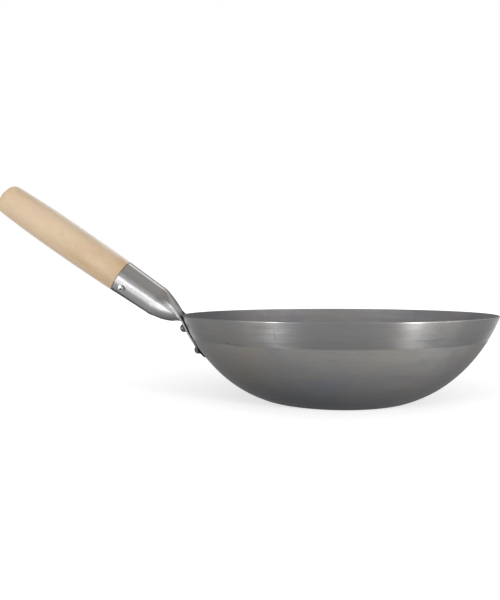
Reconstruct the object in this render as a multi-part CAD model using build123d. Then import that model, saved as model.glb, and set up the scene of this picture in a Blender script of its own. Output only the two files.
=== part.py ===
from build123d import *
import math
import os

# Carbon steel wok, 12 inch, in millimetres.
# Origin: centre of the flat base, on the table. +Z up, the handle leaves towards -X.

# Bowl: one spun sheet, a flat base and three arcs that meet tangentially
rim_radius = 152.5
base_radius = 68.5
corner_arc_radius = 24.0
lower_wall_arc_radius = 114.0
corner_angle = 20.7        # slope of the wall, from level, where the corner ends
lower_wall_angle = 42.0    # slope where the upper wall arc takes over
rim_angle = 70.0           # slope at the rim
bowl_sheet = 1.5
rim_edge_round = 0.5

# Socket: a rolled tube, pressed flat over its last part into a two-layer tongue
handle_angle = 34.8        # rise of the handle above level
socket_sheet = 1.0
socket_length = 72.5       # mouth to rim, along the tube
rim_above_axis = 3.4       # the rim lies this far over the tube's axis
mouth_radius = 16.6
throat_radius = 15.2       # where the pressing starts
throat_share = 0.622       # of socket_length
straight_share = 0.92      # of the throat's distance: a plain cone up to here
crease_start_angle = 30.0  # round the tube, where the side folds begin
rim_lean = 15.1            # how far the last pressed section leans over the bowl
rim_depth = 5.7            # belly left under the axis at the rim
tongue_half_width = 21.5   # at the rim
tongue_end_radius = 18.0
tongue_length = 48.6       # rim to tip, straight down the wall
tongue_bow_radius = 600.0  # flatter than the bowl, so its edges stand off the wall
tongue_seat = 0.3          # bedded this far on to the wall at its middle
tongue_start = 6.0         # below the rim, where the belly has run out
fold_bulge = 0.4           # roundness of the folded side edges
rim_fold_share = 1.8       # of the two layers: depth of the folded side at the rim

# Pressed sections between throat and rim. Shares of the pressed length, of rim_lean,
# of throat_radius (crown, crease and belly), of tongue_half_width, of a full fold, and
# of the two layers (depth of the side).
pressed_section_shares = [
    # along, lean, crown, crease, belly, width, fold, depth
    (0.18, 0.20, 0.915, 0.530, 0.935, 0.650, 0.00, 1.00),
    (0.42, 0.46, 0.763, 0.465, 0.862, 0.780, 0.10, 1.00),
    (0.65, 0.74, 0.592, 0.380, 0.757, 0.875, 0.35, 1.35),
    (0.85, 0.89, 0.395, 0.310, 0.600, 0.950, 0.70, 1.75),
]

crease_inset_share = 2.0   # of the sheet: the hollow keeps this far from the side creases

# Rivets: round heads outside, low heads inside
rivet_shank_radius = 2.5
rivet_head_radius = 4.0
rivet_head_collar = 1.8    # straight side under the dome
rivet_head_dome = 3.0
rivet_inner_head_radius = 4.8
rivet_inner_head_height = 1.4
upper_rivet_spread = 13.5  # each side of the middle
upper_rivet_drop = 12.3    # from the rim, straight down the wall
lower_rivet_drop = 38.0
head_bedding = 0.6         # skirt of a head, cut to the surface that it beds on

# Grip: turned wood with a tenon inside the socket
grip_length = 142.2
grip_swell_radius = 17.3
grip_swell_share = 0.34    # of grip_length, from the mouth
grip_taper_radius = 16.85
grip_taper_share = 0.675
grip_butt_radius = 15.1
butt_crown = 5.2
butt_round = 3.0
tenon_length = 38.0
tenon_clearance = 0.1
tenon_lead = 1.5

# Screw that holds the grip in the socket
screw_offset = 9.0         # from the mouth
screw_angle = 30.5         # below level, on the -Y side
screw_head_radius = 3.6
screw_head_height = 2.2
screw_shank_radius = 1.75
screw_length = 14.0
screw_point = 3.0
screw_hole_clearance = 0.15
cross_width = 0.9
cross_length = 3.8
cross_depth = 1.2

overrun = 5.0              # past the faces that a cut goes through

# Bowl profile: arc centres and joints, in radius and height


def slope_vector(angle):
    """From an arc's centre towards its point of this slope."""
    return Vector(math.sin(math.radians(angle)), -math.cos(math.radians(angle)))


corner_centre = Vector(base_radius, corner_arc_radius)
corner_end = corner_centre + slope_vector(corner_angle) * corner_arc_radius
lower_centre = corner_end - slope_vector(corner_angle) * lower_wall_arc_radius
lower_end = lower_centre + slope_vector(lower_wall_angle) * lower_wall_arc_radius
upper_wall_arc_radius = (rim_radius - lower_end.X) / (
    slope_vector(rim_angle).X - slope_vector(lower_wall_angle).X
)
upper_centre = lower_end - slope_vector(lower_wall_angle) * upper_wall_arc_radius
rim_point = upper_centre + slope_vector(rim_angle) * upper_wall_arc_radius
rim_height = rim_point.Y


def wall_arcs(inset):
    """The wall's arcs, set in from its outer face by a distance."""
    return [
        CenterArc(corner_centre, corner_arc_radius - inset, -90, corner_angle),
        CenterArc(
            lower_centre,
            lower_wall_arc_radius - inset,
            corner_angle - 90,
            lower_wall_angle - corner_angle,
        ),
        CenterArc(
            upper_centre,
            upper_wall_arc_radius - inset,
            lower_wall_angle - 90,
            rim_angle - lower_wall_angle,
        ),
    ]


def spin(edges):
    """Solid of revolution from a closed outline in radius and height."""
    return revolve(Plane.XZ * make_face(edges), Axis.Z)


def make_bowl():
    outer = wall_arcs(0)
    inner = wall_arcs(bowl_sheet)
    walls = Polyline((base_radius, 0), (0, 0), (0, bowl_sheet), (base_radius, bowl_sheet))
    rim = Line(outer[-1] @ 1, inner[-1] @ 1)
    shell = spin(outer + inner + walls.edges() + [rim])
    rings = shell.edges().filter_by(GeomType.CIRCLE).filter_by(lambda edge: edge.is_closed)
    return fillet(rings.sort_by(Axis.Z)[-2:], rim_edge_round)


def make_bowl_envelope():
    """The bowl's outer form, filled, with the rim carried straight up."""
    outer = wall_arcs(0)
    top = rim_height + overrun
    sides = Polyline((base_radius, 0), (0, 0), (0, top), (rim_radius, top), outer[-1] @ 1)
    return spin(outer + sides.edges())


# Places along the wall and along the handle


def wall_angle(drop):
    """Slope of the wall at a straight distance down from the rim."""
    return rim_angle - 2 * math.degrees(math.asin(drop / 2 / upper_wall_arc_radius))


def wall_frame(drop, across):
    """Plane on the outer wall under the handle, facing outwards, its y down the wall."""
    slope = math.radians(wall_angle(drop))
    spot = upper_centre + slope_vector(wall_angle(drop)) * upper_wall_arc_radius
    turn = math.asin(across / spot.X)
    outwards = Vector(
        -math.sin(slope) * math.cos(turn), math.sin(slope) * math.sin(turn), -math.cos(slope)
    )
    level = Vector(math.sin(turn), math.cos(turn), 0)
    return Plane(Vector(-spot.X * math.cos(turn), across, spot.Y), level, outwards)


def cross_plane(place, slope):
    """Cross-section of something that runs towards the bowl and down: x is +Y, y its upper side."""
    fall = math.radians(slope)
    return Plane(place, (0, 1, 0), (math.cos(fall), 0, -math.sin(fall)))


handle_frame = cross_plane(Vector(-rim_radius, 0, rim_height), handle_angle)
along = handle_frame.z_dir
above = handle_frame.y_dir
mouth = handle_frame.origin - along * socket_length - above * rim_above_axis
throat_length = throat_share * socket_length
straight_length = straight_share * throat_length
tongue_thickness = 2 * socket_sheet


def tube_radius(distance):
    """Outer radius of the round part, from the mouth."""
    return mouth_radius - (mouth_radius - throat_radius) * distance / throat_length


def tongue_width(drop):
    """Half the width between the side folds, which run into the round end."""
    end_width = tongue_end_radius - fold_bulge
    end_drop = tongue_length - tongue_end_radius
    return tongue_half_width - (tongue_half_width - end_width) * drop / end_drop


def tongue_bow(drop):
    """How far the tongue's edges bend round the bowl."""
    return tongue_width(drop) ** 2 / 2 / tongue_bow_radius


# Cross-sections of the socket: four arcs each, so that they loft into one another


def section_face(plane, crown, upper, side, lower, belly):
    """Crown, folded side, belly and folded side, through points in (across, up)."""

    def at(point, hand):
        return plane.from_local_coords(Vector(hand * point[0], point[1]))

    edges = [
        ThreePointArc(at(upper, -1), at(crown, 1), at(upper, 1)),
        ThreePointArc(at(upper, 1), at(side, 1), at(lower, 1)),
        ThreePointArc(at(lower, 1), at(belly, 1), at(lower, -1)),
        ThreePointArc(at(lower, -1), at(side, -1), at(upper, -1)),
    ]
    return make_face(edges)


def round_section(distance, inset):
    """Section of the round tube."""
    radius = tube_radius(distance) - inset
    half_fold = math.degrees(math.asin(socket_sheet / throat_radius))

    def on_ring(angle):
        return (radius * math.cos(math.radians(angle)), radius * math.sin(math.radians(angle)))

    return section_face(
        cross_plane(mouth + along * distance, handle_angle),
        (0, radius),
        on_ring(crease_start_angle + half_fold),
        on_ring(crease_start_angle),
        on_ring(crease_start_angle - half_fold),
        (0, -radius),
    )


def pressed_section(plane, crown, crease, belly, width, fold, depth):
    """Section of the pressed part. The sides follow the belly's round, or fold to a depth."""
    drop = crease + belly
    bend = (width**2 + drop**2) / 2 / drop
    start = math.asin((drop - bend) / bend)

    def side_point(share):
        turn = start - share * depth / bend
        round_across = bend * math.cos(turn)
        round_up = bend - belly + bend * math.sin(turn)
        fold_across = width + fold_bulge * math.sin(math.pi * share)
        fold_up = crease - share * depth
        return (
            round_across + fold * (fold_across - round_across),
            round_up + fold * (fold_up - round_up),
        )

    middle = side_point(1 / 2)
    return section_face(plane, (0, crown), (width, crease), middle, side_point(1), (0, -belly))


def pressed_sections(inset):
    """Sections from the throat to the rim. The hollow's sides stay two layers deep."""

    def fold_depth(share):
        return tongue_thickness * (1 if inset else share)

    rim_slope = handle_angle + rim_lean
    rim_crown = rim_above_axis / math.cos(math.radians(rim_lean))
    rim_station = socket_length - rim_crown * math.sin(math.radians(rim_lean))
    pressed_length = rim_station - throat_length
    sections = []
    for station, lean, crown, crease, belly, width, fold, depth in pressed_section_shares:
        plane = cross_plane(
            mouth + along * (throat_length + station * pressed_length),
            handle_angle + lean * rim_lean,
        )
        sections.append(
            pressed_section(
                plane,
                crown * throat_radius - inset,
                crease * throat_radius - inset,
                belly * throat_radius - inset,
                width * tongue_half_width - crease_inset_share * inset,
                fold,
                fold_depth(depth),
            )
        )
    sections.append(
        pressed_section(
            cross_plane(mouth + along * rim_station, rim_slope),
            rim_crown - inset,
            rim_crown + tongue_bow(0) - inset,
            rim_depth - inset,
            tongue_width(0) - crease_inset_share * inset,
            1,
            fold_depth(rim_fold_share),
        )
    )
    return sections


def tongue_section(drop):
    """Section of the flat tongue on the wall."""
    angle = wall_angle(drop)
    spot = upper_centre + slope_vector(angle) * upper_wall_arc_radius
    return pressed_section(
        cross_plane(Vector(-spot.X, 0, spot.Y), angle),
        tongue_seat,
        tongue_seat + tongue_bow(drop),
        tongue_thickness - tongue_seat,
        tongue_width(drop),
        1,
        tongue_thickness,
    )


def make_tongue():
    """Two layers down the wall, with a round end."""
    beyond = tongue_length + overrun
    steps = 5
    stations = [tongue_start + (beyond - tongue_start) * i / steps for i in range(steps + 1)]
    strip = loft([tongue_section(drop) for drop in stations])
    middle = wall_frame(tongue_length / 2, 0)
    end_centre = tongue_length / 2 - tongue_end_radius
    outline = Circle(tongue_end_radius) + Pos(0, -tongue_length / 2) * Rectangle(
        2 * tongue_half_width + 2 * overrun, tongue_length
    )
    cutter = extrude(Pos(0, end_centre) * outline, tongue_half_width, both=True)
    return strip & (middle.location * cutter)


def make_socket_form():
    """Outer form of the socket, closed, bedded on the bowl."""
    tube = loft([round_section(d, 0) for d in (0, straight_length)], ruled=True)
    throat = [round_section(d, 0) for d in (straight_length, throat_length)]
    pressed = loft(throat + pressed_sections(0))
    merge = loft([pressed_sections(0)[-1], tongue_section(tongue_start)], ruled=True)
    return tube + pressed + merge + make_tongue() - make_bowl_envelope()


def make_socket_hollow():
    """The space inside the tube, open at the mouth."""
    tube = loft([round_section(d, socket_sheet) for d in (-overrun, straight_length)], ruled=True)
    throat = [round_section(d, socket_sheet) for d in (straight_length, throat_length)]
    return tube + loft(throat + pressed_sections(socket_sheet))


# Fasteners


def crown_arc(radius, crown, base):
    """Arc from the axis, at its crown over a base height, down to a radius at that height."""
    bend = (radius**2 + crown**2) / 2 / crown
    half = math.asin(radius / bend) / 2
    middle = (bend * math.sin(half), base + crown - bend + bend * math.cos(half))
    return ThreePointArc((0, base + crown), middle, (radius, base))


def dome(radius, collar, crown, skirt):
    """Round head on the z = 0 plane: a straight collar, a crown, and a skirt below."""
    cap = crown_arc(radius, crown, collar)
    sides = Polyline((radius, collar), (radius, -skirt), (0, -skirt), (0, collar + crown))
    return spin([cap] + sides.edges())


def rod(radius, low, high):
    """Cylinder on the z axis between two heights."""
    return Pos(0, 0, low) * Cylinder(radius, high - low, align=(Align.CENTER, Align.CENTER, Align.MIN))


def rivet_shank(drop, across):
    frame = wall_frame(drop, across)
    shank = rod(rivet_shank_radius, -bowl_sheet - head_bedding, tongue_thickness + head_bedding)
    return frame.location * shank


def make_rivet(drop, across, bowl, socket):
    """Shank with a round head on the tongue and a low head inside the bowl."""
    frame = wall_frame(drop, across)
    outer = Pos(0, 0, tongue_thickness) * dome(
        rivet_head_radius, rivet_head_collar, rivet_head_dome, head_bedding
    )
    inner = Pos(0, 0, -bowl_sheet) * Rot(180, 0, 0) * dome(
        rivet_inner_head_radius, 0, rivet_inner_head_height, head_bedding
    )
    heads = frame.location * outer - socket + (frame.location * inner - bowl)
    return heads + rivet_shank(drop, across)


down_side = Vector(0, -math.cos(math.radians(screw_angle)), 0) - above * math.sin(
    math.radians(screw_angle)
)
screw_frame = Plane(
    mouth + along * screw_offset + down_side * tube_radius(screw_offset), along, down_side
)


def make_screw_shank():
    stem = rod(screw_shank_radius, screw_point - screw_length, screw_head_height / 2)
    point = Pos(0, 0, screw_point - screw_length) * Rot(180, 0, 0) * Cone(
        screw_shank_radius, 0, screw_point, align=(Align.CENTER, Align.CENTER, Align.MIN)
    )
    return screw_frame.location * (stem + point)


def make_screw(socket):
    """Dome-headed screw with a cross recess."""
    head = screw_frame.location * dome(screw_head_radius, 0, screw_head_height, head_bedding)
    screw = head - socket + make_screw_shank()
    recess = Pos(0, 0, screw_head_height) * (
        Box(cross_length, cross_width, 2 * cross_depth)
        + Box(cross_width, cross_length, 2 * cross_depth)
    )
    return screw - screw_frame.location * recess


# Grip


def make_grip():
    """Turned body and tenon, about the handle's axis."""
    tenon_root = tube_radius(0) - socket_sheet - tenon_clearance
    tenon_end = tube_radius(tenon_length) - socket_sheet - tenon_clearance
    side = Spline(
        (mouth_radius, 0),
        (grip_swell_radius, grip_swell_share * grip_length),
        (grip_taper_radius, grip_taper_share * grip_length),
        (grip_butt_radius, grip_length - butt_crown),
    )
    butt = crown_arc(grip_butt_radius, butt_crown, grip_length - butt_crown)
    tenon = Polyline(
        (0, grip_length),
        (0, -tenon_length),
        (tenon_end - tenon_lead, -tenon_length),
        (tenon_end, tenon_lead - tenon_length),
        (tenon_root, 0),
        (mouth_radius, 0),
    )
    body = spin([side, butt] + tenon.edges())
    rings = body.edges().filter_by(GeomType.CIRCLE).filter_by(lambda edge: edge.is_closed)
    body = fillet(rings.sort_by(Axis.Z)[-1], butt_round)
    grip_frame = Plane(mouth, (0, 1, 0), along * -1)
    return grip_frame.location * body - make_screw_shank()


# Assembly
bowl_blank = make_bowl()
socket_form = make_socket_form()
socket_blank = socket_form - make_socket_hollow()
rivet_places = {
    "rivet_upper_left": (upper_rivet_drop, upper_rivet_spread),
    "rivet_upper_right": (upper_rivet_drop, -upper_rivet_spread),
    "rivet_lower": (lower_rivet_drop, 0),
}
shanks = [rivet_shank(*place) for place in rivet_places.values()]
screw_hole = screw_frame.location * rod(
    screw_shank_radius + screw_hole_clearance, -socket_sheet - overrun, overrun
)
pieces = {
    "bowl": bowl_blank - shanks,
    "handle_socket": socket_blank - shanks - screw_hole,
    "wood_grip": make_grip(),
    "grip_screw": make_screw(socket_form),
}
for name, place in rivet_places.items():
    pieces[name] = make_rivet(*place, bowl_blank, socket_form)

os.makedirs("parts", exist_ok=True)
for name, piece in pieces.items():
    export_step(piece, f"parts/{name}.step")
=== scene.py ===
import bpy
import math
from mathutils import Euler, Matrix, Vector


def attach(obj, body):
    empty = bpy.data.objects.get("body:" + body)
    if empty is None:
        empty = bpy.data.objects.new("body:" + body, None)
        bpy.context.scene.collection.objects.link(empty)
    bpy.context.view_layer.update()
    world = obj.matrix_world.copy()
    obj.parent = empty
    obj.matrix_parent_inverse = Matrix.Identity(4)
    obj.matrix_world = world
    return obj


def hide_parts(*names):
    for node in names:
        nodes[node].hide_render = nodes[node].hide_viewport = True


# Carbon steel wok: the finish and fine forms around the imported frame.
# Metres, +Z up, origin at the middle of the base. The handle leaves towards -X and rises.

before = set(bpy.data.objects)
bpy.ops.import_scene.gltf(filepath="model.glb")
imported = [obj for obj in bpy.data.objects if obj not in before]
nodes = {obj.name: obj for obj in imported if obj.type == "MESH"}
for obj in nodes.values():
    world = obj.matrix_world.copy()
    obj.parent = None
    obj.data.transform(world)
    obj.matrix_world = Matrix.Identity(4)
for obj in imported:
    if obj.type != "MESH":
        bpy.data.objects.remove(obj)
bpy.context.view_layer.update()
up = Vector((0, 0, 1))
print("frame loaded:", len(nodes), "nodes")


# Camera

photoCamera = {
    "place": (-0.08197, -0.59094, 0.10757),
    "turn": -0.3117,  # degrees, to the right of straight ahead
    "dip": 1.0702,
    "roll": -0.1925,
    "lens": 35.393,
    "sensor": 36.0,
    "clip": (0.01, 60),
}


def makeCamera():
    data = bpy.data.cameras.new("photoCamera")
    data.lens = photoCamera["lens"]
    data.sensor_width = photoCamera["sensor"]
    data.clip_start, data.clip_end = photoCamera["clip"]
    turn, dip, roll = (math.radians(photoCamera[key]) for key in ("turn", "dip", "roll"))
    ahead = Vector((math.sin(turn) * math.cos(dip), math.cos(turn) * math.cos(dip), -math.sin(dip)))
    right = Vector((math.cos(turn), -math.sin(turn), 0))
    top = right.cross(ahead)
    rolledRight = right * math.cos(roll) + top * math.sin(roll)
    rolledTop = top * math.cos(roll) - right * math.sin(roll)
    lookMatrix = Matrix((rolledRight, rolledTop, -ahead)).transposed().to_4x4()
    camera = bpy.data.objects.new("photoCamera", data)
    camera.matrix_world = Matrix.Translation(photoCamera["place"]) @ lookMatrix
    bpy.context.scene.collection.objects.link(camera)
    bpy.context.scene.camera = camera


makeCamera()


# Node helpers

noiseRange = (0.3, 0.7)  # most of a noise lies between these


def newMaterial(name):
    material = bpy.data.materials.new(name)
    material.use_nodes = True
    tree = material.node_tree
    shader = tree.nodes["Principled BSDF"]
    return material, tree, shader


# new node with its settings, and values or links on its sockets
def addNode(tree, kind, settings=None, inputs=None):
    node = tree.nodes.new(kind)
    for key, value in (settings or {}).items():
        setattr(node, key, value)
    for key, value in (inputs or {}).items():
        if isinstance(value, bpy.types.NodeSocket):
            tree.links.new(value, node.inputs[key])
        else:
            node.inputs[key].default_value = value
    return node


def maths(tree, operation, first, second=0.0, third=0.0):
    node = addNode(tree, "ShaderNodeMath", {"operation": operation}, {0: first, 1: second, 2: third})
    return node.outputs[0]


def vectorMaths(tree, operation, first, second=(0, 0, 0), output=0):
    node = addNode(tree, "ShaderNodeVectorMath", {"operation": operation}, {0: first, 1: second})
    return node.outputs[output]


# value between two marks, eased to a new range
def spread(tree, value, low, high, newLow=0.0, newHigh=1.0, smooth=True):
    settings = {"interpolation_type": "SMOOTHSTEP" if smooth else "LINEAR"}
    inputs = {"Value": value, "From Min": low, "From Max": high, "To Min": newLow, "To Max": newHigh}
    return addNode(tree, "ShaderNodeMapRange", settings, inputs).outputs["Result"]


def blendColours(tree, share, first, second, mode="MIX"):
    node = addNode(tree, "ShaderNodeMix", {"data_type": "RGBA", "blend_type": mode})
    for index, value in ((0, share), (6, first), (7, second)):
        if isinstance(value, bpy.types.NodeSocket):
            tree.links.new(value, node.inputs[index])
        else:
            node.inputs[index].default_value = value if index == 0 else (*value[:3], 1)
    return node.outputs[2]


def noise(tree, vector, scale, detail=3.0, roughness=0.55, distortion=0.0):
    inputs = {"Vector": vector, "Scale": scale, "Detail": detail, "Roughness": roughness}
    inputs["Distortion"] = distortion
    return addNode(tree, "ShaderNodeTexNoise", None, inputs).outputs[0]


def stretched(tree, vector, scale):
    return addNode(tree, "ShaderNodeMapping", None, {"Vector": vector, "Scale": scale}).outputs[0]


def shaded(tree, colour, factor):
    return addNode(tree, "ShaderNodeVectorMath", {"operation": "SCALE"}, {0: colour, 3: factor}).outputs[0]


def coordinates(tree, vector):
    return addNode(tree, "ShaderNodeSeparateXYZ", None, {0: vector}).outputs


def bumped(tree, height, strength, distance, under=None):
    inputs = {"Height": height, "Strength": strength, "Distance": distance}
    if under:
        inputs["Normal"] = under
    return addNode(tree, "ShaderNodeBump", None, inputs).outputs[0]


# everything multiplied together
def product(tree, first, *factors):
    for factor in factors:
        first = maths(tree, "MULTIPLY", first, factor)
    return first


def lengthOf(tree, vector):
    return vectorMaths(tree, "LENGTH", vector, output="Value")


def objectPlace(tree):
    return addNode(tree, "ShaderNodeTexCoord").outputs["Object"]


# metal with grooves in one direction, which stretch its reflections across them
def groovedMetal(tree, shader, grooves, stretch, edgeTint):
    shader.inputs["Metallic"].default_value = 1
    shader.inputs["Specular Tint"].default_value = edgeTint
    shader.inputs["Anisotropic"].default_value = stretch
    shader.inputs["Anisotropic Rotation"].default_value = 0.25  # a quarter turn
    tree.links.new(grooves, shader.inputs["Tangent"])


# Modelling helpers

modelling = {
    "seedSize": 0.01,
    "weld": 1e-6,
    "onRing": 1e-4,  # how near to a ring its corners lie
}


def clearSelection():
    if bpy.context.object and bpy.context.object.mode != "OBJECT":
        bpy.ops.object.mode_set(mode="OBJECT")
    bpy.ops.object.select_all(action="DESELECT")


# one point, extruded along a list of places
def drawProfile(name, points):
    clearSelection()
    bpy.ops.mesh.primitive_plane_add(size=modelling["seedSize"], location=(0, 0, 0))
    piece = bpy.context.object
    piece.name = name
    bpy.ops.object.mode_set(mode="EDIT")
    bpy.ops.mesh.select_all(action="SELECT")
    bpy.ops.mesh.merge(type="CENTER")
    bpy.ops.transform.translate(value=points[0])
    for start, end in zip(points, points[1:]):
        bpy.ops.mesh.extrude_vertices_move(TRANSFORM_OT_translate={"value": Vector(end) - Vector(start)})
    return piece


# turns the drawn profile once round an axis and closes the seam and the poles
def spinProfile(steps, centre, axis):
    bpy.ops.mesh.select_all(action="SELECT")
    bpy.ops.mesh.spin(steps=steps, angle=math.tau, center=centre, axis=axis)
    bpy.ops.mesh.select_all(action="SELECT")
    bpy.ops.mesh.remove_doubles(threshold=modelling["weld"])
    bpy.ops.mesh.select_all(action="SELECT")
    bpy.ops.mesh.normals_make_consistent(inside=False)
    bpy.ops.object.mode_set(mode="OBJECT")


def applyModifiers(piece):
    clearSelection()
    bpy.context.view_layer.objects.active = piece
    piece.select_set(True)
    for modifier in list(piece.modifiers):
        bpy.ops.object.modifier_apply(modifier=modifier.name)


def smoothByAngle(piece, degrees):
    clearSelection()
    bpy.context.view_layer.objects.active = piece
    piece.select_set(True)
    bpy.ops.object.shade_smooth_by_angle(angle=math.radians(degrees))


# puts materials in the piece's slots; faces keep their slot numbers
def dress(piece, *materials):
    piece.data.materials.clear()
    for material in materials:
        piece.data.materials.append(material)


# Bowl

bowl = {
    "rimRadius": 0.1525,
    "baseRadius": 0.0685,
    "cornerArc": 0.024,
    "lowerArc": 0.114,
    "cornerAngle": 20.7,  # slopes of the wall, from level, where its arcs meet
    "lowerAngle": 42.0,
    "rimAngle": 70.0,
    "sheet": 0.0015,
    "rimRound": 0.0005,
    "steps": 256,  # round the bowl
    "ringGap": 0.0009,  # up the wall
    "bandHeight": 0.0604,  # lower edge of the polished band
    "rippleDepth": 0.000012,
    "rippleLength": 0.0042,
    "secondRipple": (0.6, 2.37, 1.3),  # depth and number against the first, and where it starts
    "baseShares": (0, 0.35, 0.7, 1),  # rings on the flat base, of its radius
    "leastRings": 3,
    "rimSegments": 3,
    "rimFold": 60,  # degrees from which an edge is rounded
    "smoothAngle": 40,
}


def slopePoint(centre, radius, angle):
    turn = math.radians(angle)
    return Vector((centre.x + radius * math.sin(turn), 0, centre.z - radius * math.cos(turn)))


# centre, radius and slopes of the three arcs of the wall
def wallArcs():
    cornerCentre = Vector((bowl["baseRadius"], 0, bowl["cornerArc"]))
    cornerEnd = slopePoint(cornerCentre, bowl["cornerArc"], bowl["cornerAngle"])
    lowerCentre = slopePoint(cornerEnd, -bowl["lowerArc"], bowl["cornerAngle"])
    lowerEnd = slopePoint(lowerCentre, bowl["lowerArc"], bowl["lowerAngle"])
    lean = math.sin(math.radians(bowl["rimAngle"])) - math.sin(math.radians(bowl["lowerAngle"]))
    upperArc = (bowl["rimRadius"] - lowerEnd.x) / lean
    upperCentre = slopePoint(lowerEnd, -upperArc, bowl["lowerAngle"])
    return [
        (cornerCentre, bowl["cornerArc"], 0, bowl["cornerAngle"]),
        (lowerCentre, bowl["lowerArc"], bowl["cornerAngle"], bowl["lowerAngle"]),
        (upperCentre, upperArc, bowl["lowerAngle"], bowl["rimAngle"]),
    ]


# shallow rings that the spinning roller leaves
def spinningRipple(distance):
    share, number, start = bowl["secondRipple"]
    turns = math.tau * distance / bowl["rippleLength"]
    return bowl["rippleDepth"] * (math.sin(turns) + share * math.sin(number * turns + start))


# outer face from the middle of the base to the rim
def bowlProfile():
    points = [Vector((bowl["baseRadius"] * share, 0, 0)) for share in bowl["baseShares"]]
    travelled = 0
    for centre, radius, start, end in wallArcs():
        length = radius * math.radians(end - start)
        count = max(bowl["leastRings"], round(length / bowl["ringGap"]))
        for index in range(1, count + 1):
            angle = start + (end - start) * index / count
            travelled += length / count
            points.append(slopePoint(centre, radius - spinningRipple(travelled), angle))
    return points


def makeBowl(wallSteel, innerSteel, bandSteel):
    piece = drawProfile("bowl_shell", bowlProfile())
    spinProfile(bowl["steps"], (0, 0, 0), up)
    dress(piece, wallSteel, innerSteel, bandSteel)
    sheet = piece.modifiers.new("sheet", "SOLIDIFY")
    sheet.thickness = bowl["sheet"]
    sheet.offset = -1
    sheet.use_even_offset = True
    sheet.material_offset = 1
    sheet.material_offset_rim = 1
    rim = piece.modifiers.new("rimRound", "BEVEL")
    rim.width = bowl["rimRound"]
    rim.segments = bowl["rimSegments"]
    rim.limit_method = "ANGLE"
    rim.angle_limit = math.radians(bowl["rimFold"])
    applyModifiers(piece)
    smoothByAngle(piece, bowl["smoothAngle"])
    for face in piece.data.polygons:
        if face.material_index == 0 and face.center.z > bowl["bandHeight"]:
            face.material_index = 2
    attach(piece, "root")
    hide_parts("bowl")
    return piece


# Steel of the bowl: the outer wall, the band that is turned finer under the rim, the inside

wallLook = {
    "name": "bowlSteelWall",
    "bare": (0.208, 0.205, 0.197),
    "warm": (0.216, 0.198, 0.174),
    "cool": (0.182, 0.187, 0.200),
    # painted shade towards the base, for the shaded floor that the lower wall reflects
    "paintedFootShade": (0.20, 0.21, 0.245),
    "footFade": 1.25,
    # painted shade on the handle's side and on the far side
    "leftPaintedShade": 0.76,
    "rightPaintedShade": 0.66,
    "roughness": 0.46,
    "stretch": 0.2,
    "lineShade": (0.95, 1.04),
    "lineBump": 0.2,
}
bandLook = {
    "name": "bowlSteelBand",
    "bare": (0.168, 0.166, 0.162),
    "warm": (0.172, 0.166, 0.158),
    "cool": (0.152, 0.154, 0.162),
    "paintedFootShade": (1, 1, 1),
    "footFade": 1,
    # painted shade on the handle's side and on the far side
    "leftPaintedShade": 0.90,
    "rightPaintedShade": 0.84,
    "roughness": 0.310,
    "stretch": 0.92,
    "lineShade": (0.90, 1.09),
    "lineBump": 0.35,
    # painted shade and light up the band, darker at its lower edge and lighter at the rim
    "paintedClimbShade": (0.93, 1.08),  # at the lower edge of the band and at the rim
}
innerLook = {
    "name": "bowlSteelInside",
    "bare": (0.196, 0.192, 0.190),
    "warm": (0.209, 0.198, 0.188),
    "cool": (0.150, 0.147, 0.170),
    "paintedFootShade": (0.9, 0.9, 0.92),
    "footFade": 1,
    # painted shade on the handle's side and on the far side
    "leftPaintedShade": 0.74,
    "rightPaintedShade": 1.05,
    "roughness": 0.60,
    "stretch": 0.3,
    "lineShade": (0.95, 1.04),
    "lineBump": 0.2,
}
bowlFinish = {
    "edgeTint": (0.62, 0.62, 0.63, 1),  # the oiled steel stays dull at its edges
    "rimHeight": 0.082,
    "roughSwing": (-0.03, 0.04),
    # each noise: scale, detail, roughness, distortion
    "lineNoise": (1.0, 4, 0.65),
    "ringNoise": (1.0, 3, 0.5),
    "patchNoise": (16, 4, 0.6, 0.4),
    "cloudNoise": (34, 5, 0.6, 0.8),
    # turning lines, and the wider rings among them
    "climbScale": 1500,
    "aroundScale": 18,
    "lineRange": (0.25, 0.75),
    "lineDepth": 0.00002,
    "ringStretch": (0.6, 0.6, 0.12),
    "ringBump": 0.14,
    "ringDepth": 0.00006,
    # stains
    "patchStretch": (1, 1, 1.6),
    "patchRange": (0.35, 0.68),
    "cloudStretch": (1, 1, 2.2),
    "cloudRange": (0.3, 0.72),
    # where the painted side shade fades, from -1 on the handle's side to 1 on the free side
    "leftReach": (-0.85, 0.25),
    "rightReach": (0.45, 0.92),
    # painted shadow on the wall under the tongue and in the gap beside it
    "tongueShadow": 0.45,
    "tongueEdge": (0.0204, 0.0214),
    "tongueSide": (-0.06, -0.05),
    "tongueFoot": (0.046, 0.056),
    "marks": [
        # degrees round from the front, height, half width, half height, darkening
        (-46.3, 0.0619, 0.0032, 0.0007, 0.5),
        (-41.0, 0.0612, 0.0100, 0.0012, 0.16),
        (-26.2, 0.0735, 0.0006, 0.0080, 0.42),
        (31.0, 0.0700, 0.0005, 0.0050, 0.10),
        (-8.0, 0.0520, 0.0060, 0.0010, 0.08),
    ],
    "markShare": 0.94,  # of the rim's radius
    "markDepth": 6,  # half widths into the wall
    "markNoise": (420, 3, 0.6),
    "markRagged": 0.8,
    "markEdge": (0.5, 1.6),
}


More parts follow.
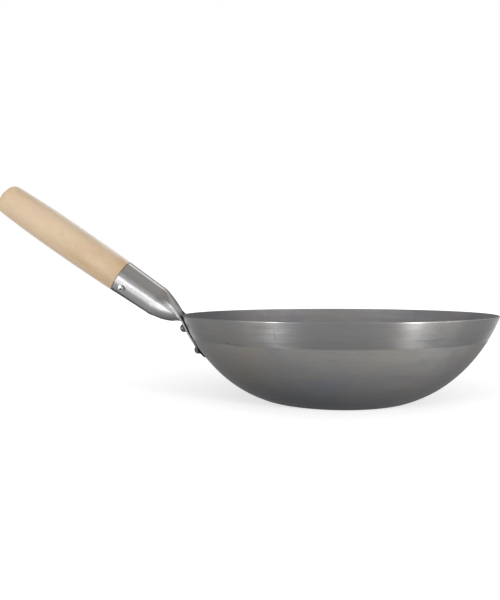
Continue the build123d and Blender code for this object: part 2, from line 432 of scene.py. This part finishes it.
# soft dark spot on the wall: 1 outside it, less in its middle
def wallMark(tree, place, mark):
    degreesRound, height, halfWidth, halfHeight, darkening = mark
    turn = math.radians(degreesRound)
    radius = bowl["rimRadius"] * bowlFinish["markShare"]
    spot = Vector((radius * math.sin(turn), -radius * math.cos(turn), height))
    settings = {"vector_type": "TEXTURE"}
    inputs = {"Vector": place, "Location": spot, "Rotation": Euler((0, 0, turn))}
    local = addNode(tree, "ShaderNodeMapping", settings, inputs).outputs[0]
    ragged = noise(tree, place, *bowlFinish["markNoise"])
    halfDepth = bowlFinish["markDepth"] * halfWidth + halfHeight
    scales = (1 / halfWidth, 1 / halfDepth, 1 / halfHeight)
    away = lengthOf(tree, vectorMaths(tree, "MULTIPLY", local, scales))
    away = maths(tree, "ADD", away, product(tree, ragged, bowlFinish["markRagged"]))
    return spread(tree, away, *bowlFinish["markEdge"], 1 - darkening, 1)


# 1 on the open wall, darker with painted shadow where the tongue lies on it
def tongueGapShadow(tree, x, y, height):
    sideways = maths(tree, "ABSOLUTE", y)
    besideTongue = spread(tree, sideways, *bowlFinish["tongueEdge"], bowlFinish["tongueShadow"], 1)
    freeSide = spread(tree, x, *bowlFinish["tongueSide"])
    belowTongue = spread(tree, height, *bowlFinish["tongueFoot"], 1, 0)
    outside = maths(tree, "MAXIMUM", freeSide, belowTongue)
    return maths(tree, "MAXIMUM", besideTongue, outside)


def bowlColour(tree, look, place, height, clouds):
    finish = bowlFinish
    patches = noise(tree, stretched(tree, place, finish["patchStretch"]), *finish["patchNoise"])
    colour = blendColours(tree, spread(tree, patches, *finish["patchRange"]), look["cool"], look["warm"])
    colour = blendColours(tree, spread(tree, clouds, *finish["cloudRange"]), colour, look["bare"])
    # painted shade, darker towards the base
    lowness = spread(tree, height, 0, bowl["bandHeight"], 1, 0, False)
    footColour = blendColours(tree, 1.0, colour, look["paintedFootShade"], "MULTIPLY")
    return blendColours(tree, maths(tree, "POWER", lowness, look["footFade"]), colour, footColour)


# painted shade towards the handle and on the far side from it, with the lines, marks, painted shade up the
# band and painted shadow under the tongue
def bowlShade(tree, look, place, radius, fineRings):
    finish = bowlFinish
    x, y, height = coordinates(tree, place)
    sideways = maths(tree, "DIVIDE", x, maths(tree, "MAXIMUM", radius, bowl["sheet"]))
    shade = product(
        tree,
        spread(tree, sideways, *finish["leftReach"], look["leftPaintedShade"], 1),
        spread(tree, sideways, *finish["rightReach"], 1, look["rightPaintedShade"]),
        spread(tree, fineRings, *finish["lineRange"], *look["lineShade"], False),
    )
    if look is innerLook:
        return shade
    if look is bandLook:
        # painted shade and light up the band
        band = (bowl["bandHeight"], finish["rimHeight"])
        shade = product(tree, shade, spread(tree, height, *band, *look["paintedClimbShade"], False))
    shade = product(tree, shade, *(wallMark(tree, place, mark) for mark in finish["marks"]))
    return product(tree, shade, tongueGapShadow(tree, x, y, height))


def makeBowlSteel(look):
    finish = bowlFinish
    material, tree, shader = newMaterial(look["name"])
    place = objectPlace(tree)
    x, y, height = coordinates(tree, place)
    radius = lengthOf(tree, vectorMaths(tree, "MULTIPLY", place, (1, 1, 0)))
    around = vectorMaths(tree, "NORMALIZE", vectorMaths(tree, "CROSS_PRODUCT", up, place))

    # rings that follow the profile: height and radius both grow along it
    climb = product(tree, maths(tree, "ADD", height, radius), finish["climbScale"])
    slow = finish["aroundScale"]
    ringInputs = {0: product(tree, x, slow), 1: product(tree, y, slow), 2: climb}
    ringPlace = addNode(tree, "ShaderNodeCombineXYZ", None, ringInputs).outputs[0]
    fineRings = noise(tree, ringPlace, *finish["lineNoise"])
    wideRings = noise(tree, stretched(tree, ringPlace, finish["ringStretch"]), *finish["ringNoise"])
    clouds = noise(tree, stretched(tree, place, finish["cloudStretch"]), *finish["cloudNoise"])

    colour = bowlColour(tree, look, place, height, clouds)
    shade = bowlShade(tree, look, place, radius, fineRings)
    tree.links.new(shaded(tree, colour, shade), shader.inputs["Base Color"])

    limits = [look["roughness"] + swing for swing in finish["roughSwing"]]
    rough = spread(tree, wideRings, *noiseRange, *limits)
    rough = maths(tree, "ADD", rough, spread(tree, clouds, *noiseRange, *finish["roughSwing"]))
    tree.links.new(rough, shader.inputs["Roughness"])
    groovedMetal(tree, shader, around, look["stretch"], finish["edgeTint"])

    grooves = bumped(tree, fineRings, look["lineBump"], finish["lineDepth"])
    surface = bumped(tree, wideRings, finish["ringBump"], finish["ringDepth"], grooves)
    tree.links.new(surface, shader.inputs["Normal"])
    return material


bowlPiece = makeBowl(makeBowlSteel(wallLook), makeBowlSteel(innerLook), makeBowlSteel(bandLook))
print("bowl made:", len(bowlPiece.data.polygons), "faces")


# Handle: places along it are counted from the socket's mouth

handle = {
    "mouth": (-0.21397, 0, 0.12066),
    "rise": 34.8,  # degrees above level
    "mouthRadius": 0.0166,
}
rise = math.radians(handle["rise"])
mouth = Vector(handle["mouth"])
along = Vector((math.cos(rise), 0, -math.sin(rise)))  # towards the bowl
above = Vector((math.sin(rise), 0, math.cos(rise)))


# object coordinates, and the same turned so that x runs along the handle and z is its upper side
def handleCoordinates(tree):
    place = objectPlace(tree)
    inputs = {"Vector": place, "Location": mouth, "Rotation": Euler((0, rise, 0))}
    turned = addNode(tree, "ShaderNodeMapping", {"vector_type": "TEXTURE"}, inputs)
    return place, turned.outputs[0]


# Grip

grip = {
    "length": 0.1422,
    "tenonRoot": 0.0155,
    "tenonEnd": 0.01432,
    "tenonLength": 0.038,
    "tenonLead": 0.0015,
    "swellRadius": 0.0173,
    "swellShare": 0.34,
    "taperRadius": 0.01685,
    "taperShare": 0.675,
    "buttRadius": 0.0151,
    "buttCrown": 0.0052,
    "buttRound": 0.003,
    "buttSegments": 6,
    "shoulderRound": 0.0006,
    "shoulderSegments": 3,
    "sideSteps": 40,
    "crownSteps": 10,
    "steps": 96,
    "smoothAngle": 35,
}


# curve through the four radii that the turner measures
def gripRadius(distance):
    marks = [
        (0, handle["mouthRadius"]),
        (grip["swellShare"] * grip["length"], grip["swellRadius"]),
        (grip["taperShare"] * grip["length"], grip["taperRadius"]),
        (grip["length"] - grip["buttCrown"], grip["buttRadius"]),
    ]
    radius = 0
    for index, (mark, value) in enumerate(marks):
        others = [other for place, (other, _) in enumerate(marks) if place != index]
        radius += value * math.prod((distance - other) / (mark - other) for other in others)
    return radius


def gripPoint(radius, distance):
    return mouth - along * distance + above * radius


# bevels the ring of edges with this radius, at a distance from the mouth
def roundRing(piece, radius, distance, width, segments):
    clearSelection()
    bpy.context.view_layer.objects.active = piece
    bpy.ops.object.mode_set(mode="EDIT")
    bpy.ops.mesh.select_mode(type="VERT")
    bpy.ops.mesh.select_all(action="DESELECT")
    bpy.ops.object.mode_set(mode="OBJECT")
    for vertex in piece.data.vertices:
        offset = vertex.co - mouth
        fromRing = max(abs(offset.dot(along) + distance), abs((offset + along * distance).length - radius))
        vertex.select = fromRing < modelling["onRing"]
    bpy.ops.object.mode_set(mode="EDIT")
    bpy.ops.mesh.select_mode(type="EDGE")
    bpy.ops.mesh.bevel(offset=width, segments=segments, affect="EDGES")
    bpy.ops.object.mode_set(mode="OBJECT")


def makeGrip():
    sideLength = grip["length"] - grip["buttCrown"]
    crownBend = (grip["buttRadius"] ** 2 + grip["buttCrown"] ** 2) / 2 / grip["buttCrown"]
    crownAngle = math.asin(grip["buttRadius"] / crownBend)
    outline = [
        (0, -grip["tenonLength"]),
        (grip["tenonEnd"] - grip["tenonLead"], -grip["tenonLength"]),
        (grip["tenonEnd"], grip["tenonLead"] - grip["tenonLength"]),
        (grip["tenonRoot"], 0),
    ]
    for step in range(grip["sideSteps"] + 1):
        distance = sideLength * step / grip["sideSteps"]
        outline.append((gripRadius(distance), distance))
    for step in range(1, grip["crownSteps"] + 1):
        angle = crownAngle * (1 - step / grip["crownSteps"])
        drop = crownBend * (1 - math.cos(angle))
        outline.append((crownBend * math.sin(angle), grip["length"] - drop))
    piece = drawProfile("turned_grip", [gripPoint(*point) for point in outline])
    spinProfile(grip["steps"], mouth, along)
    roundRing(piece, grip["buttRadius"], sideLength, grip["buttRound"], grip["buttSegments"])
    roundRing(piece, handle["mouthRadius"], 0, grip["shoulderRound"], grip["shoulderSegments"])
    smoothByAngle(piece, grip["smoothAngle"])
    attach(piece, "root")
    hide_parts("wood_grip")
    return piece


woodLook = {
    "pale": (0.665, 0.508, 0.342),
    "tan": (0.590, 0.418, 0.248),
    "pink": (0.685, 0.480, 0.345),
    "sheenGrey": (0.600, 0.545, 0.475),
    "orange": (0.600, 0.400, 0.215),
    "roughness": 0.55,
    # each grain: its scales along the grip and across it
    "broadGrain": (14, 40, 40),
    "softGrain": (45, 95, 95),
    "fibreGrain": (70, 1400, 1400),
    "poreGrain": (0.22, 1, 1),
    # each noise: scale, detail, roughness, distortion
    "broadNoise": (1.0, 3, 0.5, 0.6),
    "softNoise": (1.0, 4, 0.55, 0.8),
    "fibreNoise": (1.0, 4, 0.6),
    "poreNoise": (900, 2, 0.5),
    "tanRange": (0.36, 0.66),
    "pinkRange": (0.45, 0.72),
    "pinkShare": 0.7,
    # warmer on the upper side near the socket, and greyer along the upper and lower edges with painted
    # sheen
    "warmReach": (-0.022, -0.002),
    "warmHeights": (-0.004, 0.012),
    "warmShare": 0.8,
    "sheenHeights": (0.0125, 0.0168),
    "sheenShare": 0.45,
    "fibreRange": (0.2, 0.8),
    "fibreTones": (0.965, 1.03),
    "fibreBump": 0.3,
    "fibreDepth": 0.00004,
    "poreRange": (0.60, 0.72),
    "poreTone": 0.86,
    # painted shade in the joint
    "jointReach": (-0.0010, -0.0002),  # a dark line where the socket starts
    "paintedJointShade": 0.30,
}


def makeWood():
    look = woodLook
    material, tree, shader = newMaterial("turnedBeech")
    place, local = handleCoordinates(tree)
    x, y, z = coordinates(tree, local)
    broad, soft, fibres, pores = (
        noise(tree, stretched(tree, local, look[part + "Grain"]), *look[part + "Noise"])
        for part in ("broad", "soft", "fibre", "pore")
    )
    colour = blendColours(tree, spread(tree, broad, *look["tanRange"]), look["pale"], look["tan"])
    pinkness = spread(tree, soft, *look["pinkRange"], 0, look["pinkShare"])
    colour = blendColours(tree, pinkness, colour, look["pink"])
    nearSocket = spread(tree, x, *look["warmReach"])
    onTop = spread(tree, z, *look["warmHeights"])
    warmth = product(tree, nearSocket, onTop, look["warmShare"])
    colour = blendColours(tree, warmth, colour, look["orange"])
    # painted sheen along the upper and lower edges
    atEdge = spread(tree, maths(tree, "ABSOLUTE", z), *look["sheenHeights"])
    paintedSheen = product(tree, atEdge, look["sheenShare"])
    colour = blendColours(tree, paintedSheen, colour, look["sheenGrey"])
    tone = product(
        tree,
        spread(tree, fibres, *look["fibreRange"], *look["fibreTones"], False),
        spread(tree, pores, *look["poreRange"], 1, look["poreTone"]),
        spread(tree, x, *look["jointReach"], 1, look["paintedJointShade"]),
    )
    tree.links.new(shaded(tree, colour, tone), shader.inputs["Base Color"])
    shader.inputs["Roughness"].default_value = look["roughness"]
    tree.links.new(bumped(tree, fibres, look["fibreBump"], look["fibreDepth"]), shader.inputs["Normal"])
    return material


gripPiece = makeGrip()
dress(gripPiece, makeWood())
print("grip made:", len(gripPiece.data.polygons), "faces")


# Socket, rivets and screw

socket = {
    "steel": (0.235, 0.232, 0.236),
    "brown": (0.225, 0.212, 0.200),
    "edgeTint": (0.42, 0.42, 0.42, 1),
    "roughness": 0.33,
    "roughSwing": 0.02,
    "stretch": 0.9,
    # each grain: its scales along the handle and across it
    "brushGrain": (2600, 60, 60),
    "cloudGrain": (40, 90, 90),
    # each noise: scale, detail, roughness, distortion
    "brushNoise": (1.0, 4, 0.6),
    "cloudNoise": (1.0, 4, 0.6, 0.5),
    "brushRange": (0.2, 0.8),
    "brushTones": (0.93, 1.06),
    "brushBump": 0.06,
    "brushDepth": 0.00002,
    "cloudTones": (0.95, 1.04),
    # the upper side is browner, in patches
    "brownHeights": (0.001, 0.009),
    "brownLeast": 0.4,
    # painted shade along the underside
    "underHeights": (-0.0152, -0.0118),
    "paintedUnderShade": 0.20,
    # painted shade in the joint at the socket's mouth
    "mouthReach": (0, 0.0005),
    "paintedMouthShade": 0.5,
    # the pressed end is rougher, and painted shade dims it between its ridge and its crease
    "ridgeHeights": (-0.0002, 0.0014),
    "creaseHeights": (0.0028, 0.0070),
    "pressedReach": (0.038, 0.052),
    "pressedPaintedShade": 0.42,
    "pressedDull": 0.19,
    # heights above the floor between which painted shade darkens the tongue, at its top and at its tip
    "tongueHeights": (0.074, 0.084),
    "paintedTongueShade": 0.6,
    "tipHeights": (0.0475, 0.0555),
    "paintedTipShade": 0.42,
}
rivetLook = {
    "dark": (0.035, 0.035, 0.036),
    "light": (0.12, 0.12, 0.125),
    "roughness": 0.5,
    "grainNoise": (700, 4, 0.6),
    "grainRange": (0.35, 0.65),
    "grainBump": 0.5,
    "grainDepth": 0.00015,
}
screw = {
    "offset": 0.0090,
    "angle": 30.5,
    "tubeRadius": 0.0163,
    "headHeight": 0.0022,
    "domeBend": 0.00405,
    # painted shade in the cross and round the foot
    "shadeDepths": (0.0006, 0.0002),  # under the dome, where the dark of the cross ends
    "steel": (0.31, 0.31, 0.305),
    "dark": (0.02, 0.02, 0.02),
    "roughness": 0.42,
    "grainNoise": (1500, 3, 0.6),
    "grainTones": (0.9, 1.05),
}


def makeSocketSteel():
    look = socket
    material, tree, shader = newMaterial("socketSteel")
    place, local = handleCoordinates(tree)
    x, y, z = coordinates(tree, local)
    height = coordinates(tree, place)[2]
    outwards = vectorMaths(tree, "SUBTRACT", place, mouth)
    around = vectorMaths(tree, "NORMALIZE", vectorMaths(tree, "CROSS_PRODUCT", along, outwards))
    brush = noise(tree, stretched(tree, local, look["brushGrain"]), *look["brushNoise"])
    clouds = noise(tree, stretched(tree, local, look["cloudGrain"]), *look["cloudNoise"])

    patchy = spread(tree, clouds, *noiseRange, look["brownLeast"], 1)
    brownness = product(tree, spread(tree, z, *look["brownHeights"]), patchy)
    colour = blendColours(tree, brownness, look["steel"], look["brown"])
    pressed = product(
        tree,
        spread(tree, z, *look["ridgeHeights"]),
        spread(tree, z, *look["creaseHeights"], 1, 0),
        spread(tree, x, *look["pressedReach"]),
    )
    tone = product(
        tree,
        spread(tree, brush, *look["brushRange"], *look["brushTones"], False),
        spread(tree, clouds, *noiseRange, *look["cloudTones"]),
        spread(tree, z, *look["underHeights"], look["paintedUnderShade"], 1),
        spread(tree, x, *look["mouthReach"], look["paintedMouthShade"], 1),
        spread(tree, pressed, 0, 1, 1, look["pressedPaintedShade"], False),
        spread(tree, height, *look["tipHeights"], look["paintedTipShade"], 1),
        spread(tree, height, *look["tongueHeights"], look["paintedTongueShade"], 1),
    )
    tree.links.new(shaded(tree, colour, tone), shader.inputs["Base Color"])

    limits = (look["roughness"] - look["roughSwing"], look["roughness"] + look["roughSwing"])
    rough = spread(tree, clouds, *noiseRange, *limits)
    rough = maths(tree, "ADD", rough, spread(tree, x, *look["pressedReach"], 0, look["pressedDull"]))
    tree.links.new(rough, shader.inputs["Roughness"])
    groovedMetal(tree, shader, around, look["stretch"], look["edgeTint"])
    tree.links.new(bumped(tree, brush, look["brushBump"], look["brushDepth"]), shader.inputs["Normal"])
    return material


def makeRivetSteel():
    look = rivetLook
    material, tree, shader = newMaterial("rivetSteel")
    grain = noise(tree, objectPlace(tree), *look["grainNoise"])
    colour = blendColours(tree, spread(tree, grain, *look["grainRange"]), look["dark"], look["light"])
    tree.links.new(colour, shader.inputs["Base Color"])
    shader.inputs["Metallic"].default_value = 1
    shader.inputs["Roughness"].default_value = look["roughness"]
    tree.links.new(bumped(tree, grain, look["grainBump"], look["grainDepth"]), shader.inputs["Normal"])
    return material


# bright dome, with painted shade in its cross and round its foot
def makeScrewSteel():
    material, tree, shader = newMaterial("screwSteel")
    place = objectPlace(tree)
    turn = math.radians(screw["angle"])
    outwards = Vector((0, -math.cos(turn), 0)) - above * math.sin(turn)
    foot = mouth + along * screw["offset"] + outwards * screw["tubeRadius"]
    offset = vectorMaths(tree, "SUBTRACT", place, foot)
    climbed = vectorMaths(tree, "DOT_PRODUCT", offset, outwards, "Value")
    aside = lengthOf(tree, vectorMaths(tree, "CROSS_PRODUCT", offset, outwards))
    domeDrop = maths(tree, "DIVIDE", maths(tree, "POWER", aside, 2), 2 * screw["domeBend"])
    level = maths(tree, "ADD", climbed, domeDrop)
    unshaded = spread(tree, level, *(screw["headHeight"] - depth for depth in screw["shadeDepths"]))
    colour = blendColours(tree, unshaded, screw["dark"], screw["steel"])
    grain = noise(tree, place, *screw["grainNoise"])
    colour = shaded(tree, colour, spread(tree, grain, *noiseRange, *screw["grainTones"]))
    tree.links.new(colour, shader.inputs["Base Color"])
    shader.inputs["Metallic"].default_value = 1
    shader.inputs["Roughness"].default_value = screw["roughness"]
    return material


dress(nodes["handle_socket"], makeSocketSteel())
rivetSteel = makeRivetSteel()
rivetNames = ("rivet_upper_left", "rivet_upper_right", "rivet_lower")
for name in rivetNames:
    dress(nodes[name], rivetSteel)
dress(nodes["grip_screw"], makeScrewSteel())
print("socket, rivets and screw dressed")


# Floor, backdrop and lights

studio = {
    "floorSize": 40,
    "floorColour": (0.86, 0.86, 0.86),
    "floorGlow": 0.605,
    "glowReach": (0.14, 0.60),
    "fill": 0.22,
    "lampDistance": 1.5,
    # name, degrees round from the front, elevation, width, height, watts
    "bowlLamps": [
        ("leftKey", -48.0, 6, 0.24, 0.30, 12.4),
        ("leftWide", -52, 6, 1.10, 0.30, 9.0),
        ("rightKey", 43.0, 6, 0.26, 0.30, 19.5),
        ("rightWide", 56, 6, 1.20, 0.30, 12.0),
    ],
    "socketLamps": [
        ("stripeKey", -64, 22, 0.25, 0.45, 26.0),
        ("stripeLow", -72, 4, 0.80, 0.20, 28.0),
        ("stripeHigh", -60, 36, 0.50, 0.40, 7.0),
        ("stripeWide", -38, 6, 1.00, 0.30, 9.0),
        ("socketBack", 165, 48, 0.60, 0.60, 5.0),
    ],
    "gripLamps": [
        ("gripKey", -15, 5, 1.20, 0.40, 12.3),
        ("gripTop", -10, 66, 1.20, 0.80, 6.0),
        ("gripBack", 172, 40, 1.00, 0.60, 8.0),
    ],
    "topLamp": (1.6, 1.2, 1.5),  # size, height, watts
}


# 1 for what the camera, a reflection or a see-through surface looks at, 0 for soft light
def seenDirectly(tree):
    rays = addNode(tree, "ShaderNodeLightPath").outputs
    seen = maths(tree, "ADD", rays["Is Camera Ray"], rays["Is Glossy Ray"])
    settings = {"operation": "ADD", "use_clamp": True}
    return addNode(tree, "ShaderNodeMath", settings, {0: seen, 1: rays["Is Transmission Ray"]}).outputs[0]


def makeFloor():
    clearSelection()
    bpy.ops.mesh.primitive_plane_add(size=studio["floorSize"], location=(0, 0, 0))
    floor = bpy.context.object
    floor.name = "floor"
    material, tree, shader = newMaterial("paleFloor")
    tree.nodes.remove(shader)
    distance = lengthOf(tree, objectPlace(tree))
    near, far = studio["glowReach"]
    glow = spread(tree, distance, near, far, studio["floorGlow"], 1.0)
    strength = maths(tree, "MULTIPLY", glow, seenDirectly(tree))
    diffuse = addNode(tree, "ShaderNodeBsdfDiffuse", None, {"Color": (*studio["floorColour"], 1)})
    emission = addNode(tree, "ShaderNodeEmission", None, {"Strength": strength})
    both = addNode(tree, "ShaderNodeAddShader", None, {0: diffuse.outputs[0], 1: emission.outputs[0]})
    clear = addNode(tree, "ShaderNodeBsdfTransparent")  # so that the underside can be looked at
    backface = addNode(tree, "ShaderNodeNewGeometry").outputs["Backfacing"]
    inputs = {0: backface, 1: both.outputs[0], 2: clear.outputs[0]}
    mixed = addNode(tree, "ShaderNodeMixShader", None, inputs)
    tree.links.new(mixed.outputs[0], tree.nodes["Material Output"].inputs["Surface"])
    dress(floor, material)
    return floor


def makeWorld():
    world = bpy.data.worlds.new("paleStudio")
    bpy.context.scene.world = world
    world.use_nodes = True
    tree = world.node_tree
    background = tree.nodes["Background"]
    background.inputs["Color"].default_value = (1, 1, 1, 1)
    strength = spread(tree, seenDirectly(tree), 0, 1, studio["fill"], 1.0, False)
    tree.links.new(strength, background.inputs["Strength"])


# a lamp that is flagged off from everything but the pieces in its reach
def addLamp(name, width, height, watts, reach=()):
    data = bpy.data.lights.new(name, "AREA")
    data.shape = "RECTANGLE"
    data.size = width
    data.size_y = height
    data.energy = watts
    lamp = bpy.data.objects.new(name, data)
    bpy.context.scene.collection.objects.link(lamp)
    if reach:
        lit = bpy.data.collections.new(name + "Reach")
        for piece in reach:
            lit.objects.link(piece)
        lamp.light_linking.receiver_collection = lit
    return lamp


def makeLamps(reaches):
    for lamps, reach in reaches.items():
        for name, azimuth, elevation, width, height, watts in studio[lamps]:
            turn, lift = math.radians(azimuth), math.radians(elevation)
            level = math.cos(lift)
            towards = Vector((math.sin(turn) * level, -math.cos(turn) * level, math.sin(lift)))
            lamp = addLamp(name, width, height, watts, reach)
            lamp.location = towards * studio["lampDistance"]
            lamp.rotation_mode = "QUATERNION"
            lamp.rotation_quaternion = towards.to_track_quat("Z", "Y")
    size, height, watts = studio["topLamp"]
    addLamp("topLamp", size, size, watts).location = (0, 0, height)


floorPiece = makeFloor()
makeWorld()
rivets = [nodes[name] for name in rivetNames]
makeLamps({
    "bowlLamps": [bowlPiece, floorPiece, *rivets],
    "socketLamps": [nodes["handle_socket"], nodes["grip_screw"]],
    "gripLamps": [gripPiece],
})
bpy.context.scene.view_settings.view_transform = "Standard"
print("stage made")
